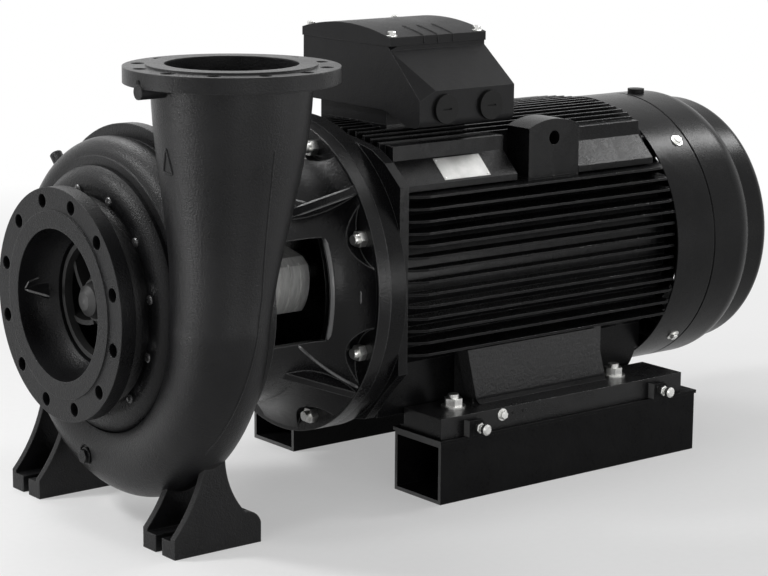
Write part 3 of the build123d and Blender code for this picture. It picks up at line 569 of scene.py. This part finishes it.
def gauge_plug():
    part = Part()
    rows = [(0.0075, -0.003), (0.0075, 0.0012), (0.005, 0.0018)]
    part.lathe(rows, gauge_plug_at, (-1, 0, 0), sides=6)
    part.piece("gauge_plug", black_plastic)


def shield_screws():
    part = Part()
    for y in (-shield_screw_y, shield_screw_y):
        part.screw((shield_screw_x, y, shield_screw_z), (-1, 0, 0), head_r=0.009, head_h=0.010)
    part.piece("shield_screws", zinc)


def surface(node):
    """Search tree over a node's faces in the shared frame."""
    obj = frame["nodes"][node]
    place = obj.matrix_world
    return BVHTree.FromPolygons([place @ v.co for v in obj.data.vertices],
                                [list(face.vertices) for face in obj.data.polygons])


def lay(tree, points, toward, steps=24):
    """Points along a line of corners, dropped onto a surface, each with the surface's normal."""
    toward = Vector(toward).normalized()
    found = []
    for start, end in zip(points, points[1:]):
        for i in range(steps + 1):
            at = Vector(start).lerp(Vector(end), i / steps)
            hit, normal, _, _ = tree.ray_cast(at - toward * drop_height, toward)
            if hit is not None and (not found or (hit - found[-1][0]).length > same_point):
                found.append((hit, normal if normal.dot(toward) < 0 else -normal))
    return found


def edge(start, end, normal, steps=8):
    """Path along one straight edge with a given normal."""
    normal = Vector(normal).normalized()
    return [(Vector(start).lerp(Vector(end), i / steps), normal) for i in range(steps + 1)]


def casting_marks():
    """Parting seam and flow arrow, both raised on the discharge leg."""
    leg = surface("volute_casing")
    part = Part()
    seam = [(0.187, -0.459, 0.343), (0.173, -0.438, 0.064), (0.113, -0.336, -0.244)]
    part.bead(lay(leg, seam, (0, 1, 0), steps=40), width=0.0045, height=0.0014)
    arrow = [(0.0488, -0.3119, 0.3409), (0.0534, -0.3271, 0.2927), (0.0549, -0.2949, 0.2939)]
    for start, end in zip(arrow, arrow[1:] + arrow[:1]):
        part.bead(lay(leg, [start, end], (1, 0, 0), steps=8), width=0.0055, height=0.0026)
    part.piece("casting_marks", casting)


def lantern_highlight_beads():
    """Rounded lip of each window, edges of the near ribs, and a mark on the bracket, all in a
    light grey that paints a highlight along them.
    """
    barrel = surface("lantern_bracket")
    part = Part()
    for side in (-1, 1):
        lip = [(0.470, side * 0.26, -0.087), (0.470, side * 0.26, 0.115)]
        part.bead(lay(barrel, lip, (0, -side, 0)), width=0.012, height=0.0035)
    # start, end, normal, width and height of each bead
    rib_edges = (
        ((0.4375, -0.162, 0.188), (0.4460, -0.205, 0.185), (-0.15, -0.69, 0.71), 0.006, 0.003),
        ((0.4270, -0.1990, 0.1778), (0.5250, -0.2420, 0.2118), (-0.3, -0.76, 0.57),
         0.0045, 0.002),
        ((0.4218, -0.2066, 0.1622), (0.5290, -0.2500, 0.1980), (-0.2, -0.97, -0.1),
         0.0045, 0.002),
    )
    for start, end, normal, width, height in rib_edges:
        part.bead(edge(start, end, normal), width, height)
    lower_rib = [(0.392, -0.257, -0.083), (0.537, -0.230, -0.193)]
    part.bead(lay(barrel, lower_rib, (0, 1, 0)), width=0.008, height=0.004)
    mark = [(0.515, -0.280, 0.014), (0.515, -0.280, -0.012)]
    part.bead(lay(barrel, mark, (0, 1, 0), steps=6), width=0.005, height=0.0016)
    part.piece("lantern_highlight_beads", highlight_paint)


def throat_highlight_beads():
    """Rounded crest of the guide rib in the suction throat, in a lighter grey that paints a
    highlight along it.
    """
    throat = surface("suction_cover")
    part = Part()
    nose = edge((0.0128, 0.1496, 0.0043), (0.0475, 0.1125, -0.0078), (-0.7, -0.7, 0.1))
    part.bead(nose, width=0.006, height=0.0022)
    crest = [(0.013, 0.10, 0.006), (0.021, 0.10, 0.019), (0.044, 0.10, 0.026)]
    part.bead(lay(throat, crest, (0, 1, 0), steps=8), width=0.005, height=0.0022)
    part.piece("throat_highlight_beads", soft_highlight_paint)


def lid_ribs():
    """Three low ribs that run over the lid and down its near side."""
    lid = surface("terminal_box_lid")
    part = Part()
    for x in lid_rib_x:
        over = [(x, -0.148, 0.5), (x, -0.078, 0.5)]
        down = [(x, -0.15, 0.4745), (x, -0.15, 0.490)]
        part.bead(lay(lid, over, (0, 0, -1), steps=10), width=0.005, height=0.0022)
        part.bead(lay(lid, down, (0, 1, 0), steps=4), width=0.0045, height=0.0018)
    part.piece("lid_ribs", box_paint)


def plate_rivets():
    """One rivet in each corner of the nameplate, which lies on the frame's sloping shoulder."""
    part = Part()
    half_length, half_width, plate_t = 0.056, 0.023, 0.001
    slope = Vector((0, -0.047, -0.045)).normalized()
    out = Vector((0, -0.045, 0.047)).normalized()
    middle = Vector(nameplate_at) + out * plate_t
    rows = [(0.0028, -0.0003), (0.0026, 0.0008), (0.0012, 0.0014)]
    for along in (-half_length, half_length):
        for down in (-half_width, half_width):
            at = middle + Vector((along, 0, 0)) + slope * down
            part.lathe(rows, at, out, sides=14)
    part.piece("plate_rivets", zinc)


cover_screws()
lid_screws()
cowl_screws()
jack_plates()
jack_screws()
earth_screw()
foot_pips()
impeller_nut()
gauge_plug()
shield_screws()
casting_marks()
lantern_highlight_beads()
throat_highlight_beads()
lid_ribs()
plate_rivets()


# camera, light and floor
def camera():
    """Stands where the photograph was taken from, as the fit to the pipe flanges gave it."""
    sensor_mm, photo_px, focal_px = 36.0, 768.0, 2407.0
    right = Vector((0.78507, -0.61936, 0.00799))
    up = Vector((0.11971, 0.16436, 0.97911))
    ahead = Vector((0.60773, 0.76771, -0.20317))
    data = bpy.data.cameras.new("camera")
    data.sensor_width = sensor_mm
    data.lens = sensor_mm * focal_px / photo_px
    data.clip_end = 60.0
    obj = bpy.data.objects.new("camera", data)
    turn = Matrix((right, up, -ahead)).transposed().to_4x4()
    obj.matrix_world = Matrix.Translation((-2.33487, -3.96638, 0.98539)) @ turn
    bpy.context.scene.collection.objects.link(obj)
    bpy.context.scene.camera = obj


def lamp(name, at, toward, width, height, watts):
    data = bpy.data.lights.new(name, "AREA")
    data.shape = "RECTANGLE"
    data.size = width
    data.size_y = height
    data.energy = watts
    obj = bpy.data.objects.new(name, data)
    obj.location = at
    obj.rotation_euler = (Vector(toward) - Vector(at)).to_track_quat("-Z", "Y").to_euler()
    bpy.context.scene.collection.objects.link(obj)


def background_ray(tree):
    """1 for rays that show the background: seen, through glass or in a reflection."""
    path = tree.nodes.new("ShaderNodeLightPath")
    seen = maths(tree, "MAXIMUM", path.outputs["Is Camera Ray"],
                 path.outputs["Is Transmission Ray"])
    return maths(tree, "MAXIMUM", seen, path.outputs["Is Glossy Ray"])


def world():
    """White where it is seen, and a weak even light on the object."""
    fill, white = 0.22, 1.0
    made = bpy.data.worlds.new("studio")
    bpy.context.scene.world = made
    made.use_nodes = True
    tree = made.node_tree
    shader = tree.nodes["Background"]
    shader.inputs["Color"].default_value = (1, 1, 1, 1)
    strength = span(tree, background_ray(tree), 0, 1, fill, white)
    tree.links.new(strength, shader.inputs["Strength"])


def floor():
    """Pale disc that turns white with distance and keeps the shadow near the object."""
    radius, centre_x, below = 14.0, 0.6, 0.0005
    fade_start, fade_end, least_white = 1.2, 4.0, 0.35
    part = bmesh.new()
    bmesh.ops.create_circle(part, cap_ends=True, segments=96, radius=radius)
    mesh = bpy.data.meshes.new("floor")
    part.to_mesh(mesh)
    part.free()
    obj = bpy.data.objects.new("floor", mesh)
    obj.location = (centre_x, 0.0, floor_z - below)
    bpy.context.scene.collection.objects.link(obj)
    mat, tree, shader = new_material("floor")
    shader.inputs["Roughness"].default_value = 0.9
    shader.inputs["Specular IOR Level"].default_value = floor_gloss
    where = coords(tree)
    tone = mix_colour(tree, noise(tree, where, 60.0), *floor_tones)
    tree.links.new(tone, shader.inputs["Base Color"])
    length = tree.nodes.new("ShaderNodeVectorMath")
    length.operation = "LENGTH"
    tree.links.new(where, length.inputs[0])
    away = span(tree, length.outputs["Value"], fade_start, fade_end, least_white, 1.0)
    white = add(tree, "ShaderNodeEmission", Strength=1.0)
    join = tree.nodes.new("ShaderNodeMixShader")
    tree.links.new(times(tree, away, background_ray(tree)), join.inputs[0])
    tree.links.new(shader.outputs[0], join.inputs[1])
    tree.links.new(white.outputs[0], join.inputs[2])
    tree.links.new(join.outputs[0], tree.nodes["Material Output"].inputs["Surface"])
    mesh.materials.append(mat)


# name, place, aim, width and height in metres, watts
lamps = (
    ("strip", (-2.4, 0.7, -0.26), (0.06, -0.35, 0.35), 1.1, 0.34, 26),
    ("left_back", (-1.7, 1.4, 2.4), (0.1, -0.1, 0.1), 0.6, 0.6, 54),
    ("left_high", (-2.8, -0.3, 3.0), (0.0, 0, 0.1), 0.9, 0.9, 24),
    ("left_front", (-3.0, -1.3, 0.6), (0.2, -0.2, 0.1), 0.9, 1.2, 6),
    ("back", (0.95, 2.4, 2.6), (0.5, 0, 0.1), 1.2, 0.9, 26),
    ("top", (-0.3, 0.5, 3.4), (0.3, 0, 0), 1.1, 1.0, 21),
    ("front", (1.1, -4.2, 0.7), (0.6, 0, 0.0), 1.0, 1.0, 14),
    ("front_low", (-1.0, -3.8, 0.4), (0.3, 0, 0.0), 0.7, 1.0, 18),
    ("right", (2.8, -0.75, 2.8), (0.8, 0, 0.1), 1.0, 1.0, 8),
    ("cowl", (3.5, -0.5, 2.15), (1.4, -0.1, 0.1), 0.5, 0.7, 22),
    ("right_low", (2.7, -3.1, 0.0), (0.5, -0.1, 0.0), 0.7, 0.7, 15),
)
camera()
world()
floor()
for row in lamps:
    lamp(*row)

bpy.context.scene.view_settings.view_transform = "Standard"
